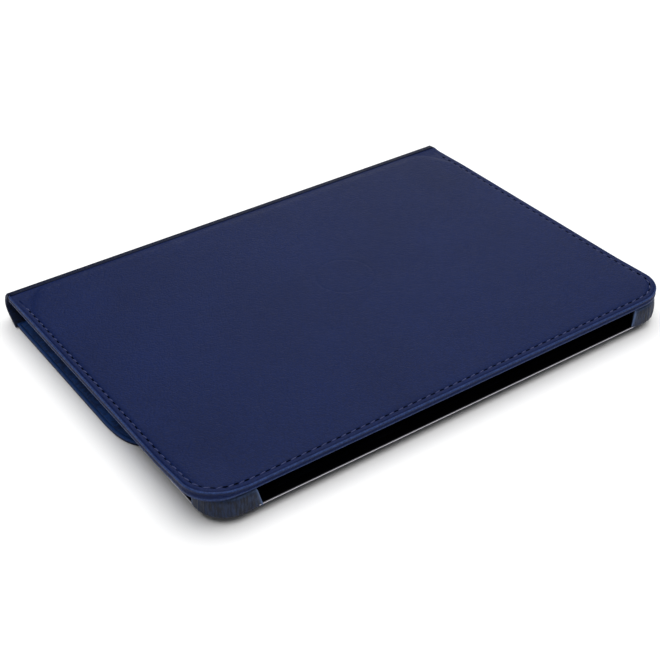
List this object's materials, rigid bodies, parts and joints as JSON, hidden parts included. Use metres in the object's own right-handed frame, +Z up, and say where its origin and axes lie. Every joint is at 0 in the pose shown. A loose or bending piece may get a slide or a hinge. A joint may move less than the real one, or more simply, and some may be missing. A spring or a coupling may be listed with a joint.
{
  "type": "rotating tablet folio case",
  "caption": "Closed padded folio case for a tablet: leather front cover, bulging soft spine, back panel with a turntable, and a rotating tray whose leather corner clips hold the tablet.",
  "frame": {"origin": "centre of the case in plan, on the surface that its back panel lies on", "axes": "+X along the case's long side, +Y towards the spine, +Z up through the front cover"},
  "size_m": [0.2638, 0.1898, 0.0182],
  "materials": {
    "navy_leather": "grained, satin",
    "clip_leather": "creased, semi-gloss",
    "suede_lining": "brushed suede",
    "tray_liner": "brushed suede",
    "grey_board": "raw pressed board",
    "padding_foam": "open foam",
    "black_plastic": "moulded, glossy",
    "steel": "plated",
    "magnet_metal": "plated"
  },
  "bodies": {
    "back_panel": {"back_leather": "navy_leather", "back_board_turntable": "grey_board", "back_board_spine": "grey_board", "back_lining": "suede_lining", "turntable_hub": "black_plastic", "turntable_rivet_1": "steel", "turntable_rivet_2": "steel", "turntable_rivet_3": "steel", "turntable_rivet_4": "steel"},
    "tray": {"tray_leather": "navy_leather", "tray_shell": "black_plastic", "tray_lining": "tray_liner", "turntable_ring": "black_plastic", "turntable_screw_1": "steel", "turntable_screw_2": "steel", "turntable_screw_3": "steel", "turntable_screw_4": "steel", "clip_core_front_left": "black_plastic", "clip_core_front_right": "black_plastic", "clip_core_rear_left": "black_plastic", "clip_core_rear_right": "black_plastic", "clip_wrap_front_left": "clip_leather", "clip_wrap_front_right": "clip_leather", "clip_wrap_rear_left": "clip_leather", "clip_wrap_rear_right": "clip_leather"},
    "spine": {"spine_leather": "navy_leather", "spine_lining": "suede_lining"},
    "front_cover": {"cover_leather": "navy_leather", "cover_foam": "padding_foam", "cover_board": "grey_board", "cover_lining": "suede_lining", "sleep_magnet_left": "magnet_metal", "sleep_magnet_right": "magnet_metal", "stand_ridge_1": "suede_lining", "stand_ridge_2": "suede_lining", "stand_ridge_3": "suede_lining"}
  },
  "joints": [
    {"name": "tray_swivel", "type": "hinge", "parent": "back_panel", "child": "tray", "pos_m": [0.0023, -0.0036, 0.005], "axis": [0, 0, 1], "continuous": true},
    {"name": "spine_fold", "type": "hinge", "parent": "back_panel", "child": "spine", "pos_m": [0, 0.0855, 0.0006], "axis": [-1, 0, 0], "range_deg": [0, 78.65], "deforming": ["spine_leather", "spine_lining"]},
    {"name": "cover_fold", "type": "hinge", "parent": "spine", "child": "front_cover", "pos_m": [0, 0.0889, 0.01765], "axis": [-1, 0, 0], "range_deg": [0, 101.35]}
  ],
  "couplings": [
    {"joint": "spine_fold", "follows": "cover_fold", "ratio": 0.776}
  ]
}
